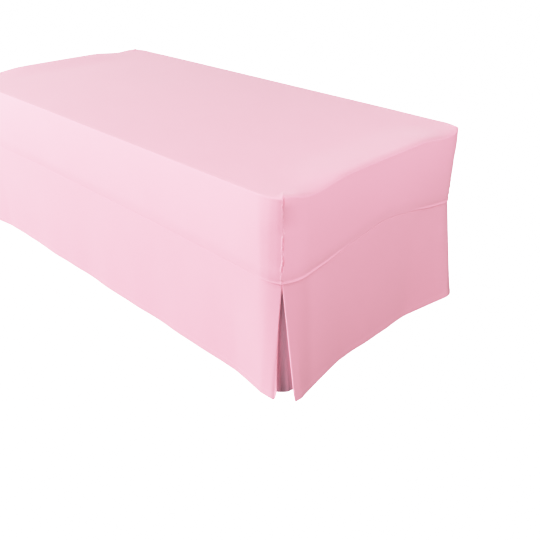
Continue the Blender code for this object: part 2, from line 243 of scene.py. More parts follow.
def ease(value):
    """0 below 0, 1 above 1 and an S-shaped rise between."""
    t = min(1.0, max(0.0, value))
    return t * t * (3 - 2 * t)


def ramp(value, start, length):
    return ease((value - start) / length)


def fall(value, end, length):
    """The mirror image of a ramp, which comes down to 0 at its end."""
    return ease((end - value) / length)


def bump(value):
    """A bell of height 1 at 0, and of half-width about 1."""
    return math.exp(-0.5 * value * value)


def bell(value, middle, width):
    return bump((value - middle) / width)


def blend(a, b, share):
    return a + (b - a) * share


def eased_line(value, end):
    """A straight rise from 0 to 1 that bends over a share of its length at each end."""
    t = min(1.0, max(0.0, value))
    if t < end:
        return t * t / (2 * end * (1 - end))
    if t > 1 - end:
        return 1 - (1 - t) ** 2 / (2 * end * (1 - end))
    return (t - end / 2) / (1 - end)


def wobble(x, y, pattern):
    return noise.noise(Vector((x, y, pattern)))


def seam_wander(z):
    """How far the line of a corner seam strays to the right at a height."""
    return SEAM_WANDER * (wobble(0.3, 34.0 * z, 5.1) + 0.6 * wobble(6.2, 105.0 * z, 1.9))


def freed(drop):
    """How far the cloth has left its shape at the seam: 0 down to the tack, 1 at the hem."""
    return max(0.0, (drop - PLEAT_TACK) / (1 - PLEAT_TACK))


# --- The outline of the bed, seen from above ---


def bed_sides(context):
    """The four sides, each with its own row of SIDES and the sizes of the whole bed."""
    sizes = context.scene.bed_skirt_sizes
    sides = [SimpleNamespace(**dict(zip(SIDE_FIELDS, row))) for row in SIDES]
    for side in sides:
        side.length, side.width = sizes.bed_length, sizes.bed_width
        side.radius, side.cloth = sizes.corner_radius, sizes.cloth_thickness
        side.hem_z = sizes.hem_height
        side.seam_z = sizes.hem_height + sizes.skirt_drop
        side.top_z = side.seam_z + sizes.wall_height
        angle = math.radians(90 * side.turn)
        side.along = Vector((math.cos(angle), math.sin(angle), 0))
        side.out = side.along.cross(UP)
        side.wall_distance = (side.width if side.lengthways else side.length) / 2
        side.half_straight = (side.length if side.lengthways else side.width) / 2 - side.radius
        side.half_run = side.half_straight + side.radius * math.pi / 4
        side.gathers = gathers_at_corner((side.turn - 1) % 4), gathers_at_corner(side.turn)
    return sides


def side_point(side, station, outward=0.0):
    """The point of the rounded outline at a station, moved outward at right angles to it."""
    bend = max(0.0, abs(station) - side.half_straight) / side.radius
    radius = side.radius + outward
    sideways = min(abs(station), side.half_straight) + radius * math.sin(bend)
    outwards = side.wall_distance - side.radius + radius * math.cos(bend)
    return side.along * math.copysign(sideways, station) + side.out * outwards


def from_corner(side, station):
    return side.half_run - abs(station)


def across_corner(side, station):
    """The distance over the nearest corner seam, from left to right."""
    away = from_corner(side, station)
    return -away if station > 0 else away


def outline_spot(side, place):
    """(station, inward) of a place on the top, from the nearest point of a side's wall."""
    sideways, inward = place.dot(side.along), side.wall_distance - place.dot(side.out)
    over = abs(sideways) - side.half_straight
    if over <= 0 or inward >= side.radius:
        return sideways, inward
    angle = min(math.atan2(over, side.radius - inward), math.pi / 4)
    station = side.half_straight + side.radius * angle
    return math.copysign(station, sideways), side.radius - math.hypot(over, side.radius - inward)


# --- The wall of the cover, its rounded top edge and the top ---


def seam_height(side, station):
    """The seam between cover and skirt dips to the corners."""
    rise = (from_corner(side, station) - SEAM_LEVEL) / (side.rise_end - SEAM_LEVEL)
    return side.seam_z + side.seam_rise * eased_line(rise, SEAM_EASE)


def wall_swell(side, station, z):
    """How far the wall stands out from the outline at a height."""
    most = blend(CORNER_SWELL, side.swell, ease(from_corner(side, station) / SWELL_RUN))
    height = min(1.0, max(0.0, (z - MATTRESS_Z) / (side.top_z - MATTRESS_Z)))
    return most * (1 - (2 * height - 1) ** 2)


def pinch(side, station, z):
    """How far a corner seam draws the wall out of its round corner."""
    across = across_corner(side, station) - seam_wander(z)
    grown = PINCH * fall(z, side.top_z + CORNER_PEAK, PINCH_FADE)
    if across > 0:
        return grown * math.exp(-across / PINCH_RUN_RIGHT)
    across /= PINCH_RUN_LEFT
    return grown * blend(bump(across), math.exp(across), ramp(side.top_z - z, *PINCH_SHARP))


def wall_point(side, station, z, inward=0.0):
    """A point of the wall at a height, moved inward."""
    outward = wall_swell(side, station, z) + pinch(side, station, z) - inward
    return side_point(side, station, outward) + UP * z


def roll_at(side, station):
    """(width, depth) of the rounded top edge at a station."""
    away = from_corner(side, station)
    share = ease(away / side.radius)
    slack = share * bell(away, *SAG_BELL)
    sizes = zip(CORNER_ROLL, side.roll, side.sag)
    return [blend(corner, own, share) + sag * slack for corner, own, sag in sizes]


def edge_height(side, station, inward=0.0):
    """The height of the top at its edge, which rises towards the middle of a side."""
    rise = side.edge_rise * ramp(from_corner(side, station), *RISE_RAMP)
    across = across_corner(side, station)
    peak = CORNER_PEAK * math.exp(-abs(across) / CORNER_PEAK_RUNS[across < 0])
    level = side.top_z + rise * (1 - ease(inward / RISE_REACH))
    return level + peak * (1 - ease(inward / CORNER_PEAK_REACH))


def lip_share(side, station):
    """How fully the cover's lower edge stands out as a lip, which sinks away from the corners."""
    return 1 - ease(2 * from_corner(side, station) / side.lip_run - 1)


def lip_strength(side, station):
    """The strength of the lip, a side's own, which evens out over the corner seams."""
    own = blend(CORNER_LIP, side.lip, ease(from_corner(side, station) / CORNER_LIP_RUN))
    return lip_share(side, station) * own


def join_height(side, station):
    shift = blend(JOIN_ABOVE, -JOIN_BELOW, lip_share(side, station))
    return seam_height(side, station) + shift - JOIN_DIP * bump(from_corner(side, station) / JOIN_DIP_RUN)


def skirt_top(side, station):
    return join_height(side, station) - TOUCH


def tuck(side, station, off):
    """How far the cloth is tucked in at a distance off the join."""
    return blend(JOIN_TUCK, LIP_TUCK, lip_strength(side, station)) * (1 - ease(off / TUCK_RUN))


def corner_seam_relief(across, height, z, from_top):
    """The ridge and the groove of a corner seam, at a distance over it from left to right."""
    if abs(across) > SEAM_REACH:
        return 0.0
    pucker, deep = wobble(2.7, 95.0 * z, 3.3), wobble(8.1, 48.0 * z, 0.6)
    high = ramp(height, *UPPER_RAMP) * fall(height, *UPPER_FALL)
    ridge = blend(*RIDGE_HEIGHTS, high) * (1 + 1.8 * pucker) * bell(across, *RIDGE_BELL)
    depth = blend(*GROOVE_DEPTHS, high) * max(0.1, 1 + 1.6 * pucker + 1.5 * deep)
    groove = depth * bell(across, GROOVE_AT, blend(*GROOVE_WIDTHS, high))
    relief = ramp(from_top, *SEAM_ENDS) * (ridge - groove)
    for size, over, below in SEAM_MARKS:
        relief += size * bell(across, *over) * bell(from_top, *below)
    return relief


def gathers_at_corner(corner):
    """Soft upright folds beside a corner seam, close together on its left and few on its right.

    Each has its height, its place at the foot and at the top of the wall, the shares of the
    wall's height where it begins and ends, and its width.
    """
    draw = random.Random(40 + corner).uniform
    found = []
    place = -0.014
    while place > -0.150:
        height = draw(0.00035, 0.0007) * (1 + place / 0.2)
        at_foot, at_top = place * draw(0.95, 1.15), place * draw(0.80, 1.05)
        found.append((height, at_foot, at_top, draw(-0.25, 0.10), draw(0.85, 1.15), draw(0.0042, 0.0065)))
        place -= draw(0.019, 0.028)
    for place in (0.030, 0.071):
        at_top = place + draw(-0.006, 0.006)
        found.append((draw(0.0002, 0.0004), place * 1.2, at_top, -0.2, draw(0.6, 1.1), 0.009))
    return found


def gather_relief(gather, across, height):
    most, at_foot, at_top, low, high, width = gather
    ends = ramp(height, low, GATHER_END) * fall(height, high, GATHER_END)
    return most * ends * bell(across, blend(at_foot, at_top, height), width)


def cover_relief(side, station, z):
    """Seams, gathers and softness: how far the cover's cloth stands out at a place."""
    across, foot = across_corner(side, station), join_height(side, station)
    above = z - foot
    height = above / (side.top_z - foot)
    relief = corner_seam_relief(across - seam_wander(z), height, z, side.top_z + CORNER_PEAK - z)
    lip = LIP * bell(above, *LIP_BELL) - LIP_GROOVE * bell(above, *GROOVE_BELL)
    relief += lip * lip_strength(side, station) - tuck(side, station, above)
    for gather in side.gathers[station > 0]:
        relief += gather_relief(gather, across, height)
    broad = WALL_WAVES[0] * wobble(7.0 * station + 17 * side.turn, 6.0 * z, 1.3)
    small = WALL_WAVES[1] * wobble(19 * station + 31 * side.turn, 13 * z, 4.7)
    return relief + fall(z, side.top_z, WAVES_FADE) * ease(above / WAVES_FADE) * (broad + small)


def edge_surface(side, station, inward):
    """The cover's surface at a distance inward from the wall, over the rounded edge and the top."""
    width, depth = roll_at(side, station)
    up_to_wall = max(0.0, 1 - inward / width)
    lean = math.asin(up_to_wall)
    z = edge_height(side, station, inward) - depth * (1 - math.cos(lean))
    relief = cover_relief(side, station, z) * ease(up_to_wall / RELIEF_FROM)
    place = wall_point(side, station, z, inward - relief * up_to_wall)
    share_x, share_y = 2 * place.x / side.length, 2 * place.y / side.width
    rise = CROWN * max(0.0, 1 - share_x**2) * max(0.0, 1 - share_y**2)
    broad = TOP_WAVES[0] * wobble(2.3 * place.x, 3.6 * place.y, 8.1)
    small = TOP_WAVES[1] * wobble(7.5 * place.x + 3.0, 9.0 * place.y, 2.2)
    return place + UP * (rise + (broad + small) * (1 - up_to_wall) + relief * math.cos(lean))


def edge_row(side, station, turn):
    """A point of the rounded edge: turn runs from 0 at EDGE_INSET to 1 on the wall."""
    return edge_surface(side, station, EDGE_INSET * (1 - math.sin(turn * math.pi / 2)))


def cover_wall(side, station, z):
    return wall_point(side, station, z, -cover_relief(side, station, z))


def wall_row(side, station, height):
    """A point of the wall: height runs from 0 near the seam to 1 under the rounded edge."""
    low = join_height(side, station) + COVER_SEAM_RINGS[0]
    high = edge_height(side, station) - roll_at(side, station)[1]
    return cover_wall(side, station, blend(low, high, height))


def seam_row(side, station, above):
    """A point of the cover's sewn lower edge, at a height above the join."""
    return cover_wall(side, station, join_height(side, station) + above)


# --- The skirt, whose drop runs from 0 at the seam to 1 at the hem ---


def kick(side, station):
    """How far the hem stands out from the wall next to a pleat."""
    away = from_corner(side, station)
    if away < side.kick_at:
        return blend(side.kick_end, side.kick_full, ease(away / side.kick_at))
    fade = (away - side.kick_at) / (side.kick_run - side.kick_at)
    return blend(HEM_FLARE, side.kick_full, (1 - min(1.0, fade)) ** KICK_SHAPE)


def hem_wave(side, station):
    """The slight unevenness of the hem between the pleats."""
    strength = side.wave * ramp(from_corner(side, station), *WAVE_RAMP)
    phase = 2 * math.pi * station / side.wave_pitch + side.wave_shift
    return strength * (math.sin(phase) + 0.5 * math.sin(2.3 * phase))


def skirt_relief(side, station, drop, height):
    """Tuck of the join, turned hem and softness: how far the skirt's cloth stands out."""
    below = drop * height
    above_hem = height - below
    hem = HEM_STEP * (1 - ease((above_hem - HEM_TURN) / HEM_STEP_RUN + 0.5))
    stitched = HEM_STITCH_SINK * bell(above_hem, *HEM_STITCH_BELL)
    broad = SKIRT_WAVES[0] * freed(drop) * wobble(8.0 * station + 23 * side.turn, 0.8 * drop, 6.4)
    small = wobble(19 * station + 11 * side.turn, 3.0 * drop, 9.6)
    soft = broad + SKIRT_WAVES[1] * ease(below / WAVES_FADE) * small
    soft *= ramp(from_corner(side, station), *SKIRT_WAVES_RAMP)
    return hem - stitched + soft - tuck(side, station, below)


def hem_lift(side, station):
    """How much the hem is rounded up where it turns back into the pleat."""
    edge = side.half_run - LAYER / 2 - TOUCH + side.hem_lean
    into = min(1.0, max(0.0, 1 - (edge - abs(station)) / side.tip))
    return side.tip_rise * (1 - math.sqrt(1 - into * into))


def front_point(side, station, drop):
    """The middle of the skirt's front layer."""
    seam_z = skirt_top(side, station)
    relief = skirt_relief(side, station, drop, seam_z - side.hem_z)
    seam = wall_point(side, station, seam_z, LAYER / 2 - relief)
    stand_out = kick(side, station) + hem_wave(side, station) - LAYER / 2 + relief
    hem = side.along * station + side.out * (side.wall_distance + stand_out)
    place = seam.lerp(hem, freed(drop))
    return Vector((place.x, place.y, blend(seam_z, side.hem_z + hem_lift(side, station), drop)))


def layer_point(side, station, drop, depth):
    """A point that lies depth behind the front layer."""
    step = LAYER / 2
    tangent = front_point(side, station + step, drop) - front_point(side, station - step, drop)
    return front_point(side, station, drop) + UP.cross(tangent).normalized() * depth


def fold_radius(side, drop):
    return blend(FOLD_RADIUS, side.hem_fold, freed(drop) ** 1.5)


def fold_start(side, drop):
    """The station at which the front layer begins to turn back."""
    lean = side.hem_lean * freed(drop) ** 2
    return side.half_run - fold_radius(side, drop) - LAYER / 2 - TOUCH + lean


def near_fold(side, hand, extra, drop):
    """A point of the front layer, extra away from the fold."""
    reach = FRONT_COLUMNS[-1]
    gap = side.half_run - fold_start(side, drop)
    away = gap + extra * (reach - gap) / reach
    return front_point(side, hand * (side.half_run - away), drop)


def on_front(side, hand, station, drop):
    return front_point(side, station, drop)


def fold_point(side, hand, angle, drop):
    """A point of the fold at a pleat: angle runs from 0 at the front to pi at the back."""
    radius = fold_radius(side, drop)
    station = fold_start(side, drop) + radius * math.sin(angle)
    turned = (1 - math.cos(angle)) / 2
    lift = UP * (BACK_LIFT * turned * drop**BACK_LIFT_POWER)
    return layer_point(side, hand * station, drop, 2 * radius * turned) + lift


def back_point(side, hand, away, drop):
    """A point of the cloth that is folded back behind a front edge."""
    closing = ease(away / FOLD_OPENS)
    depth = 2 * blend(fold_radius(side, drop), FOLD_RADIUS, closing)
    lift = UP * (BACK_LIFT * (1 - closing) * drop**BACK_LIFT_POWER)
    return layer_point(side, hand * (side.half_run - away), drop, depth) + lift


def underlay_point(side, across, drop):
    """A point of the underlay of a pleat, beside the end of the side that covers it."""
    away = abs(across)
    station = math.copysign(side.half_run - away, -across)
    against = layer_point(side, station, drop, UNDERLAY_DEPTH)
    flare = UNDERLAY_FLARE * (1 - ease(away / UNDERLAY_REACH))
    at_seam = wall_swell(side, station, side.seam_z) - LAYER / 2 - UNDERLAY_DEPTH
    # A soft upright valley in the middle, and a turn behind the front edge.
    edge = UNDERLAY_SHOWS * side.kick_end * freed(drop)
    valley = UNDERLAY_VALLEY * bump(away / UNDERLAY_VALLEY_RUN)
    relief = -valley - UNDERLAY_TURN * ease((away - edge) / UNDERLAY_TURN_RUN + 0.8)
    outward = blend(at_seam, flare, freed(drop)) + freed(drop) * relief
    own = side_point(side, station, outward)
    place = own.lerp(against, ease((away - UNDERLAY_FREE) / (UNDERLAY_JOINED - UNDERLAY_FREE)))
    seam_z = skirt_top(side, station)
    return Vector((place.x, place.y, blend(seam_z, side.hem_z - UNDERLAY_HANG, drop)))


def drop_of_row(side, station, row):
    """The drop at a station of a row given as metres under the seam, a share, or metres up."""
    kind, value = row
    height = skirt_top(side, station) - side.hem_z
    if kind == "seam":
        return value / height
    if kind == "hem":
        return 1 - value / height
    return blend(SEAM_ROWS[-1], height - HEM_ROWS[0], value) / height


# --- Pieces of cloth and thread ---


def add_piece(name, bm, material, smooth_angle=50):
    mesh = bpy.data.meshes.new(name)
    bm.to_mesh(mesh)
    bm.free()
    mesh.materials.append(material)
    mesh.shade_smooth()
    mesh.set_sharp_from_angle(angle=math.radians(smooth_angle))
    piece = bpy.data.objects.new(name, mesh)
    bpy.context.scene.collection.objects.link(piece)
    return piece


def thicken(piece, thickness, offset):
    """Gives a surface of cloth its thickness: offset -1 keeps it as the outside, 0 as the middle."""
    solid = piece.modifiers.new("cloth", "SOLIDIFY")
    solid.thickness = thickness
    solid.offset = offset
    solid.use_quality_normals = True


def join_to_frame(piece, node=None):
    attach(piece, "root")
    if node:
        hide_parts(node)


def running_lengths(points):
    lengths = [0.0]
    for before, point in zip(points, points[1:]):
        lengths.append(lengths[-1] + (point - before).length)
    return lengths


def panel_rows():
    """The rows of faces of a skirt panel or an underlay, from the seam to the hem."""
    rows = [("seam", below) for below in SEAM_ROWS]
    rows += [("share", k / SHARE_ROWS) for k in range(1, SHARE_ROWS)]
    return rows + [("hem", up) for up in HEM_ROWS]


def hang_cloth(name, node, columns, place, thickness, material, backing):
    """A sheet whose vertex (column, row) is at place(column, row), mapped flat in metres."""
    rows = panel_rows()
    bm = bmesh.new()
    last_column, last_row = len(columns) - 1, len(rows) - 1
    bmesh.ops.create_grid(bm, x_segments=last_column, y_segments=last_row, size=0.5)
    spots, places = {}, {}
    painted_shading_layer = bm.verts.layers.float.new("backing")
    for vert in bm.verts:
        column, row = round((vert.co.x + 0.5) * last_column), round((0.5 - vert.co.y) * last_row)
        spots[vert] = column, row
        vert.co = place(columns[column], rows[row])
        places[column, row] = vert.co.copy()
        # painted shade and light for the cloth's colour at each vertex
        vert[painted_shading_layer] = backing(columns[column], rows[row])
    across = running_lengths([places[column, last_row // 2] for column in range(last_column + 1)])
    down = running_lengths([places[last_column // 2, row] for row in range(last_row + 1)])
    uv_layer = bm.loops.layers.uv.new("flat_cloth")
    for face in bm.faces:
        for loop in face.loops:
            column, row = spots[loop.vert]
            loop[uv_layer].uv = (across[column], -down[row])
    piece = add_piece(name, bm, material)
    thicken(piece, thickness, 0)
    join_to_frame(piece, node)
    return piece


def extrude_rim(bm, rim):
    """Extrudes the open edges of a shell and returns the new open edges."""
    made = bmesh.ops.extrude_edge_only(bm, edges=rim)["geom"]
    new_verts = {part for part in made if isinstance(part, bmesh.types.BMVert)}
    edges = (part for part in made if isinstance(part, bmesh.types.BMEdge))
    return [edge for edge in edges if edge.is_boundary and set(edge.verts) <= new_verts]


def side_stations(side):
    """Columns of a side of the cover, from one corner's middle to the next."""
    inner = side.half_run - CORNER_COLUMNS[-1]
    steps = math.ceil(inner / MIDDLE_PITCH)
    half = [inner * k / steps for k in range(1, steps)]
    half += [side.half_run - away for away in reversed(CORNER_COLUMNS)]
    return [-station for station in reversed(half)] + [0.0] + half


def ring_place(sides, x, y):
    """(side, station, share) of a vertex of the top, whose rings shrink to a line in the middle."""
    left, foot, right, head = sides
    away_x, away_y = left.half_run - abs(x), foot.half_run - abs(y)
    if away_y <= away_x:
        side, station, away = (left, x, away_y) if y < 0 else (right, -x, away_y)
    else:
        side, station, away = (foot, y, away_x) if x > 0 else (head, -y, away_x)
    full = side.half_run
    return side, station * full / (full - away) if away < full else 0.0, away / foot.half_run


def top_place(sides, side, station, share):
    """The place seen from above: share runs from 0 at EDGE_INSET to 1 on the middle line."""
    middle = sides[0].half_run - sides[1].half_run
    inner = side.along * (middle * station / side.half_run) if side.lengthways else side.out * middle
    return side_point(side, station, -EDGE_INSET).lerp(inner, share)


def map_cover(sides, bm, side_layer, station_layer, on_top):
    """Maps the top flat, and each wall flat beside it, in metres."""
    uv_layer = bm.loops.layers.uv.new("flat_cloth")
    for face in bm.faces:
        if all(vert in on_top for vert in face.verts):
            for loop in face.loops:
                loop[uv_layer].uv = (loop.vert.co.x, loop.vert.co.y)
            continue
        inner = max(face.verts, key=lambda v: from_corner(sides[v[side_layer]], v[station_layer]))
        side = sides[inner[side_layer]]
        end = math.copysign(1, inner[station_layer]) * side.half_run
        for loop in face.loops:
            station = loop.vert[station_layer] if loop.vert[side_layer] == side.turn else end
            loop[uv_layer].uv = (station + WALL_MAP_STEP * (side.turn + 1), loop.vert.co.z)


def add_stitch(bm, centre, along, normal, length, width):
    """One stitch: a short rounded bar of thread."""
    made = bmesh.ops.create_uvsphere(bm, u_segments=6, v_segments=4, radius=0.5)["verts"]
    side = normal.cross(along).normalized()
    turn = Matrix((side, normal.cross(side) * -1, normal)).transposed().to_4x4()
    size = Matrix.Diagonal((width, length, width * STITCH_HEIGHT, 1.0))
    bmesh.ops.transform(bm, matrix=Matrix.Translation(centre) @ turn @ size, verts=made)


def finish_stitches(name, bm, context):
    bmesh.ops.recalc_face_normals(bm, faces=bm.faces)
    piece = add_piece(name, bm, finish(context, "pink_thread"), 80)
    join_to_frame(piece)
    return piece


# --- Painted shading: the cloth's colour made darker or paler to stand in for shade and light, partly for what lies right behind thin cloth ---

PAINTED_SHADING_TONE = 0.10  # how much darker each unit of painted shade makes the colour, and paler below 0
PAINTED_WALL_LIGHT = -0.55  # painted light that pales the cover's wall above the join, partly for the pale mattress behind it
WALL_LIGHT_RAMP = (0.015, 0.035)
PAINTED_HOLLOW_SHADE = 1.6  # painted shade of a hollow to the right of a corner seam's upper end
HOLLOW_SHADE_RAMP = (0.010, 0.020)
HOLLOW_SHADE_FALL = (0.105, 0.050)
HOLLOW_SHADE_RUN = 0.022
STRIP_SHADE_RAMP = (0.055, 0.050)  # painted shade on a strip at a panel's left end, partly for the underlay's allowances behind it
PAINTED_FOLD_HIGHLIGHT = -4.5  # painted highlight along the pressed fold at a panel's left end
FOLD_BELL = (1.3, 0.6)
PAINTED_EDGE_SHADE = 3.2  # painted shade along a panel's right end, which grows towards the hem
EDGE_SHADE_RUN = 0.022
PAINTED_UNDERLAY_SHADE = 3.3  # painted shade in a band down the underlay's middle
UNDERLAY_SHADE_BELL = (0.0075, 0.0055)
PAINTED_UNDERLAY_LIGHT = -5.5  # painted light on the underlay's left part
UNDERLAY_LIGHT_FALL = (0.002, 0.008)


# Painted light on the cover's wall above the join, and painted shade in the hollow right of each corner
# seam's upper end.
def cover_painted_shading(side, station, z):
    pale = PAINTED_WALL_LIGHT * ramp(z - join_height(side, station), *WALL_LIGHT_RAMP)
    across, from_top = across_corner(side, station), side.top_z - z
    if across <= 0:
        return pale
    level = ramp(from_top, *HOLLOW_SHADE_RAMP) * fall(from_top, *HOLLOW_SHADE_FALL)
    return blend(pale, PAINTED_HOLLOW_SHADE, level * math.exp(-across / HOLLOW_SHADE_RUN))


# Painted shade and light on a skirt panel: a painted highlight on the fold at its left end, painted shade
# on the strip beside it and along its right end.
def panel_painted_shading(column, row):
    point, hand, value = column
    # painted shade along the right end, growing towards the hem
    if hand > 0 and point == near_fold:
        down = {"seam": 0.0, "share": row[1], "hem": 1.0}[row[0]]
        return PAINTED_EDGE_SHADE * down**3 * (1 - ease(value / EDGE_SHADE_RUN))
    # painted highlight on the fold
    if hand < 0 and point == fold_point:
        return PAINTED_FOLD_HIGHLIGHT * bell(value, *FOLD_BELL)
    # painted shade on the strip beside the left end's fold
    return 1 - ramp(value, *STRIP_SHADE_RAMP) if hand < 0 and point == near_fold else 0.0


# Painted shade down the underlay's middle and painted light on its left part.
def underlay_painted_shading(across, row):
    underlay_light = PAINTED_UNDERLAY_LIGHT * fall(across, *UNDERLAY_LIGHT_FALL)
    return PAINTED_UNDERLAY_SHADE * bell(across, *UNDERLAY_SHADE_BELL) + underlay_light


# --- Materials ---

CLOTH_SHEEN = (1.0, 0.84, 0.89)


def connect(socket, value):
    """Links an output to a socket, or sets the socket's own value."""
    if isinstance(value, bpy.types.NodeSocket):
        socket.id_data.links.new(value, socket)
    else:
        socket.default_value = value


def fill(node, **inputs):
    """Connects a node's inputs by name, with underscores for spaces."""
    for label, value in inputs.items():
        connect(node.inputs[label.replace("_", " ")], value)


def add_node(tree, kind, **inputs):
    node = tree.nodes.new("ShaderNode" + kind)
    fill(node, **inputs)
    return node


def math_node(operation, *values, clamp=False):
    """Adds a math node to the tree of the outputs among its values."""
    tree = next(value.id_data for value in values if isinstance(value, bpy.types.NodeSocket))
    node = add_node(tree, "Math")
    node.operation = operation
    node.use_clamp = clamp
    for socket, value in zip(node.inputs, values):
        connect(socket, value)
    return node.outputs[0]


def scaled(value, factor, shift, clamp=False):
    return math_node("ADD", math_node("MULTIPLY", value, factor), shift, clamp=clamp)


def noise_node(vector, **inputs):
    return add_node(vector.id_data, "TexNoise", Vector=vector, **inputs).outputs["Fac"]


def stretched(vector, *scale):
    return add_node(vector.id_data, "Mapping", Vector=vector, Scale=scale).outputs["Vector"]


def new_group(name, inputs, outputs):
    group = bpy.data.node_groups.new(name, "ShaderNodeTree")
    for label, kind, default in inputs:
        socket = group.interface.new_socket(name=label, in_out="INPUT", socket_type="NodeSocket" + kind)
        if default is not None:
            socket.default_value = default
    for label, kind in outputs:
        group.interface.new_socket(name=label, in_out="OUTPUT", socket_type="NodeSocket" + kind)
    return group, group.nodes.new("NodeGroupInput").outputs, group.nodes.new("NodeGroupOutput").inputs


def weave_group(name):
    """Plain weave: threads that cross over and under each other, with a height from 0 to 1."""
    inputs = [("Vector", "Vector", None), ("Thread Pitch", "Float", 0.0005)]
    tree, given, put = new_group(name, inputs, [("Height", "Float"), ("Gap", "Float")])
    split = add_node(tree, "SeparateXYZ")
    connect(split.inputs[0], given["Vector"])
    waves = []
    for axis in ("X", "Y"):
        turns = math_node("DIVIDE", split.outputs[axis], given["Thread Pitch"])
        waves.append(math_node("SINE", math_node("MULTIPLY", turns, math.pi)))
    over = math_node("MULTIPLY", waves[0], waves[1])
    on_top = scaled(over, 1.6, 0.5, clamp=True)
    across, down = [math_node("ABSOLUTE", wave) for wave in waves]
    connect(put["Height"], add_node(tree, "Mix", Factor=on_top, A=across, B=down).outputs["Result"])
    connect(put["Gap"], math_node("SUBTRACT", 1.0, math_node("MAXIMUM", across, down), clamp=True))
    return tree


def slub_group(name):
    """Uneven yarn: thin streaks along both directions of the cloth, from 0 to 1."""
    inputs = [("Vector", "Vector", None), ("Scale", "Float", 1.0)]
    tree, given, put = new_group(name, inputs, [("Streaks", "Float")])
    across, along = [
        noise_node(stretched(given["Vector"], x, y, 1.0), Scale=given["Scale"])
        for x, y in ((900.0, 28.0), (34.0, 800.0))
    ]
    connect(put["Streaks"], math_node("MULTIPLY", math_node("ADD", across, along), 0.5))
    return tree


def tone_group(name):
    """Lightens and darkens a colour by a small amount around a varying value of one half."""
    grey = (0.8, 0.8, 0.8, 1.0)
    inputs = [("Colour", "Color", grey), ("Value", "Float", 0.5), ("Amount", "Float", 0.1)]
    tree, given, put = new_group(name, inputs, [("Colour", "Color")])
    centred = math_node("SUBTRACT", given["Value"], 0.5)
    factor = scaled(centred, given["Amount"], 1.0)
    scale = add_node(tree, "VectorMath")
    scale.operation = "SCALE"
    connect(scale.inputs[0], given["Colour"])
    connect(scale.inputs["Scale"], factor)
    connect(put["Colour"], scale.outputs[0])
    return tree


GROUPS = {"Plain weave": weave_group, "Uneven yarn": slub_group, "Tone variation": tone_group}


def place_group(tree, name, **inputs):
    """Places a group that all materials share, and returns its outputs."""
    node = tree.nodes.new("ShaderNodeGroup")
    node.node_tree = bpy.data.node_groups.get(name) or GROUPS[name](name)
    fill(node, **inputs)
    return node.outputs


def add_tones(tree, colour, *variations):
    """Varies a colour by values around one half, each as much as its amount."""
    for value, amount in variations:
        colour = place_group(tree, "Tone variation", Colour=colour, Value=value, Amount=amount)["Colour"]
    return colour


def start_material(name):
    """The node tree and the shader of a new material."""
    material = bpy.data.materials.new(name)
    material.use_nodes = True
    return material.node_tree, material.node_tree.nodes["Principled BSDF"]


def own_place(tree):
    return add_node(tree, "TexCoord").outputs["Object"]


def add_bump(shader, height, strength, distance):
    node = add_node(shader.id_data, "Bump", Strength=strength, Distance=distance, Height=height)
    connect(shader.inputs["Normal"], node.outputs["Normal"])


def woven_material(name, colour, pitch, sheen_tint=(1.0, 1.0, 1.0), flat_map=False):
    """Plain-woven cloth on the piece's flat map, or on Object coordinates."""
    tree, shader = start_material(name)
    vector = place = own_place(tree)
    if flat_map:
        flat = add_node(tree, "UVMap")
        flat.uv_map = "flat_cloth"
        vector = flat.outputs["UV"]
    weave = place_group(tree, "Plain weave", Vector=vector, Thread_Pitch=pitch)
    streaks = place_group(tree, "Uneven yarn", Vector=vector)["Streaks"]
    clouds = noise_node(place, Scale=5.0, Detail=3.0)
    # Painted shade and light from each piece's attribute of painted shading: above 0 darker, below 0
    # paler.
    backing = add_node(tree, "Attribute")
    backing.attribute_name = "backing"
    painted_darkening = math_node("SUBTRACT", 0.5, backing.outputs["Fac"])
    # the tone that follows the weave's height is painted shade, darker where the threads dip
    tones = (clouds, 0.05), (streaks, 0.06), (weave["Height"], 0.06), (painted_darkening, PAINTED_SHADING_TONE)
    rough = scaled(weave["Gap"], 0.1, 0.85)
    relief = math_node("ADD", weave["Height"], math_node("MULTIPLY", streaks, 0.8))
    add_bump(shader, relief, strength=0.35, distance=0.0002)
    fill(
        shader, Base_Color=add_tones(tree, colour, *tones), Roughness=rough,
        Specular_IOR_Level=0.3, Sheen_Weight=0.3, Sheen_Roughness=0.45, Sheen_Tint=(*sheen_tint, 1.0),
    )


def thread_material(name, colour):
    tree, shader = start_material(name)
    wave = add_node(tree, "TexWave", Scale=900.0, Distortion=1.0, Vector=own_place(tree))
    wave.wave_type = "BANDS"
    wave.bands_direction = "DIAGONAL"
    twist = wave.outputs["Fac"]
    add_bump(shader, twist, strength=0.4, distance=0.0001)
    # the twist's bands tone the colour: painted shade in the grooves of the twist
    fill(shader, Base_Color=add_tones(tree, colour, (twist, 0.25)), Roughness=0.6, Sheen_Weight=0.2)


def plastic_material(name, colour):
    tree, shader = start_material(name)
    place = own_place(tree)
    grain = noise_node(place, Scale=900.0)
    scuffs = noise_node(stretched(place, 60.0, 60.0, 12.0), Scale=1.0, Detail=4.0, Roughness=0.6)
    rough = scaled(scuffs, 0.25, 0.35)
    fill(shader, Base_Color=add_tones(tree, colour, (scuffs, 0.6)), Roughness=rough)
    add_bump(shader, grain, strength=0.2, distance=0.0002)


def floor_material(name, colour):
    """A pale floor that looks brighter to the camera than the light it sends back to the bed."""
    tree, shader = start_material(name)
    seen = add_node(tree, "LightPath").outputs["Is Camera Ray"]
    fill(
        shader, Base_Color=colour, Roughness=0.9, Specular_IOR_Level=0.1,
        Emission_Color=(1.0, 1.0, 1.0, 1.0), Emission_Strength=math_node("MULTIPLY", seen, FLOOR_GLOW),
    )


